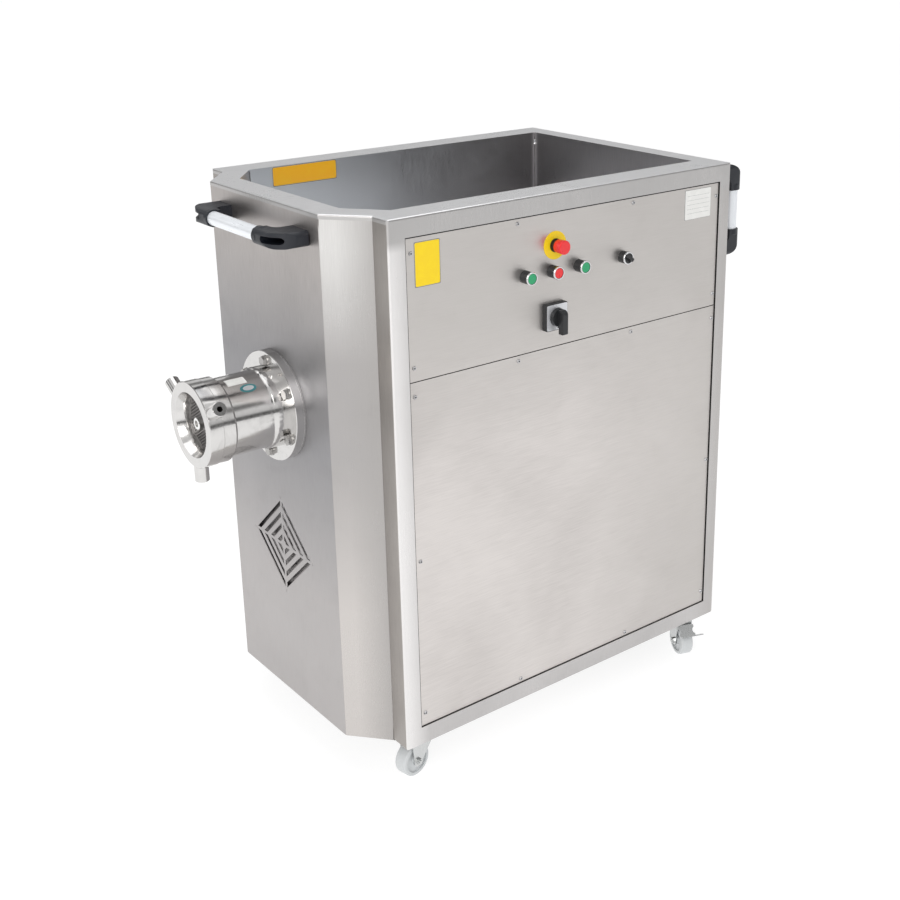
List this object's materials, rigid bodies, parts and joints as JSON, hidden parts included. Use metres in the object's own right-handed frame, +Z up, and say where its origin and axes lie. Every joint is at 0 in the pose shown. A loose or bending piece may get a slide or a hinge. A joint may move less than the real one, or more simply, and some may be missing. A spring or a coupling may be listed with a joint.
{
  "type": "meat mincer",
  "caption": "Free-standing stainless meat mincer: open hopper over a feed screw, barrel with ring nut and plate, control panel, push handles and casters.",
  "frame": {"origin": "on the floor, below the middle of the machine's bounding box", "axes": "+X along the body away from the mincing head, +Y from the control side to the back, +Z up"},
  "size_m": [1.2834, 0.75, 1.25],
  "materials": {
    "stainless_sheet": "satin brushed stainless steel",
    "machined_steel": "turned and polished stainless steel",
    "tool_steel": "ground tool steel",
    "hardware": "bright stainless fasteners",
    "handle_tube": "anodised light silver",
    "bracket_plastic": "dark blue-grey moulded",
    "black_plastic": "fine moulded black",
    "red_plastic": "glossy",
    "green_plastic": "glossy",
    "yellow_plastic": "satin",
    "silver_plate": "satin",
    "wheel_polyamide": "smooth moulded",
    "caster_steel": "pressed bright stainless steel",
    "seal_plastic": "moulded",
    "seal_rubber": "moulded",
    "drive_paint": "painted castings",
    "drive_steel": "machined, oiled"
  },
  "bodies": {
    "machine": {"main_frame": "stainless_sheet", "hopper": "stainless_sheet", "left_end_cover": "stainless_sheet", "right_end_panel": "stainless_sheet", "rear_panel": "stainless_sheet", "base_plate": "stainless_sheet", "control_panel": "stainless_sheet", "front_access_panel": "stainless_sheet", "panel_screws": "hardware", "electrical_box": "silver_plate", "cable_gland": "black_plastic", "mounting_ring": "machined_steel", "feed_barrel": "machined_steel", "flange_bolts": "hardware", "mincing_plate": "tool_steel", "shaft_seal": "seal_rubber", "gearbox_housing": "drive_paint", "gearbox_cover": "drive_paint", "gearbox_bearings": "drive_steel", "motor_body": "drive_paint", "fan_cowl": "drive_paint", "gearbox_stand": "stainless_sheet", "stop_disc": "yellow_plastic", "stop_collar": "black_plastic", "forward_bezel": "black_plastic", "halt_bezel": "black_plastic", "reverse_bezel": "black_plastic", "selector_bezel": "black_plastic", "cam_switch_body": "black_plastic", "cam_switch_plate": "silver_plate", "left_handle_tube": "handle_tube", "right_handle_tubes": "handle_tube", "handle_brackets": "bracket_plastic", "caster_plates": "caster_steel", "swivel_seals": "seal_plastic"},
    "ring_nut": {"ring_nut": "machined_steel"},
    "feed_screw": {"feed_screw": "machined_steel", "knife_stud": "tool_steel", "knife": "tool_steel", "drive_shaft": "drive_steel", "output_gear": "drive_steel"},
    "intermediate_shaft": {"intermediate_shaft": "drive_steel"},
    "motor_rotor": {"motor_rotor": "drive_steel", "motor_fan": "black_plastic"},
    "stop_head": {"stop_head": "red_plastic"},
    "forward_cap": {"forward_cap": "green_plastic"},
    "halt_cap": {"halt_cap": "red_plastic"},
    "reverse_cap": {"reverse_cap": "green_plastic"},
    "selector_knob": {"selector_knob": "black_plastic"},
    "cam_switch_knob": {"cam_switch_knob": "black_plastic"},
    "front_left_fork": {"front_left_fork": "caster_steel"},
    "front_right_fork": {"front_right_fork": "caster_steel"},
    "rear_left_fork": {"rear_left_fork": "caster_steel"},
    "rear_right_fork": {"rear_right_fork": "caster_steel"},
    "front_left_wheel": {"front_left_wheel": "wheel_polyamide"},
    "front_right_wheel": {"front_right_wheel": "wheel_polyamide"},
    "rear_left_wheel": {"rear_left_wheel": "wheel_polyamide"},
    "rear_right_wheel": {"rear_right_wheel": "wheel_polyamide"},
    "front_brake_pedal": {"front_brake_pedal": "caster_steel"},
    "rear_brake_pedal": {"rear_brake_pedal": "caster_steel"}
  },
  "joints": [
    {"name": "feed_screw_spin", "type": "hinge", "parent": "machine", "child": "feed_screw", "pos_m": [0.25625, 0.003, 0.808], "axis": [1, 0, 0], "continuous": true},
    {"name": "intermediate_spin", "type": "hinge", "parent": "machine", "child": "intermediate_shaft", "pos_m": [0.40825, 0.003, 0.672], "axis": [1, 0, 0], "continuous": true},
    {"name": "motor_spin", "type": "hinge", "parent": "machine", "child": "motor_rotor", "pos_m": [0.32825, 0.003, 0.564], "axis": [1, 0, 0], "continuous": true},
    {"name": "ring_nut_turn", "type": "hinge", "parent": "machine", "child": "ring_nut", "pos_m": [-0.61175, 0.003, 0.808], "axis": [-1, 0, 0], "range_deg": [0, 720]},
    {"name": "stop_press", "type": "slide", "parent": "machine", "child": "stop_head", "axis": [0, 1, 0], "range_m": [0, 0.004], "stiffness_N_per_m": 1200},
    {"name": "forward_press", "type": "slide", "parent": "machine", "child": "forward_cap", "axis": [0, 1, 0], "range_m": [0, 0.003], "stiffness_N_per_m": 800},
    {"name": "halt_press", "type": "slide", "parent": "machine", "child": "halt_cap", "axis": [0, 1, 0], "range_m": [0, 0.003], "stiffness_N_per_m": 800},
    {"name": "reverse_press", "type": "slide", "parent": "machine", "child": "reverse_cap", "axis": [0, 1, 0], "range_m": [0, 0.003], "stiffness_N_per_m": 800},
    {"name": "selector_turn", "type": "hinge", "parent": "machine", "child": "selector_knob", "pos_m": [0.23425, -0.357, 1.082], "axis": [0, 1, 0], "range_deg": [0, 90]},
    {"name": "cam_switch_turn", "type": "hinge", "parent": "machine", "child": "cam_switch_knob", "pos_m": [0.03625, -0.357, 0.987], "axis": [0, -1, 0], "range_deg": [-60, 60]},
    {"name": "front_left_swivel", "type": "hinge", "parent": "machine", "child": "front_left_fork", "pos_m": [-0.29975, -0.282, 0.092], "axis": [0, 0, 1], "continuous": true},
    {"name": "front_left_roll", "type": "hinge", "parent": "front_left_fork", "child": "front_left_wheel", "pos_m": [-0.32732, -0.28686, 0.0375], "axis": [0.1736, -0.9848, 0], "continuous": true},
    {"name": "front_right_swivel", "type": "hinge", "parent": "machine", "child": "front_right_fork", "pos_m": [0.49625, -0.282, 0.092], "axis": [0, 0, 1], "continuous": true},
    {"name": "front_right_roll", "type": "hinge", "parent": "front_right_fork", "child": "front_right_wheel", "pos_m": [0.48667, -0.30831, 0.0375], "axis": [0.9397, -0.342, 0], "continuous": true},
    {"name": "front_brake_press", "type": "hinge", "parent": "front_right_fork", "child": "front_brake_pedal", "pos_m": [0.48394, -0.31583, 0.081], "axis": [0.9397, -0.342, 0], "range_deg": [0, 8]},
    {"name": "rear_left_swivel", "type": "hinge", "parent": "machine", "child": "rear_left_fork", "pos_m": [-0.29975, 0.32, 0.092], "axis": [0, 0, 1], "continuous": true},
    {"name": "rear_left_roll", "type": "hinge", "parent": "rear_left_fork", "child": "rear_left_wheel", "pos_m": [-0.32714, 0.32582, 0.0375], "axis": [-0.2079, -0.9781, 0], "continuous": true},
    {"name": "rear_right_swivel", "type": "hinge", "parent": "machine", "child": "rear_right_fork", "pos_m": [0.49625, 0.32, 0.092], "axis": [0, 0, 1], "continuous": true},
    {"name": "rear_right_roll", "type": "hinge", "parent": "rear_right_fork", "child": "rear_right_wheel", "pos_m": [0.47087, 0.30817, 0.0375], "axis": [0.4226, -0.9063, 0], "continuous": true},
    {"name": "rear_brake_press", "type": "hinge", "parent": "rear_right_fork", "child": "rear_brake_pedal", "pos_m": [0.46362, 0.30479, 0.081], "axis": [0.4226, -0.9063, 0], "range_deg": [0, 8]}
  ],
  "couplings": [
    {"joint": "intermediate_spin", "follows": "feed_screw_spin", "ratio": -3},
    {"joint": "motor_spin", "follows": "feed_screw_spin", "ratio": 9}
  ]
}
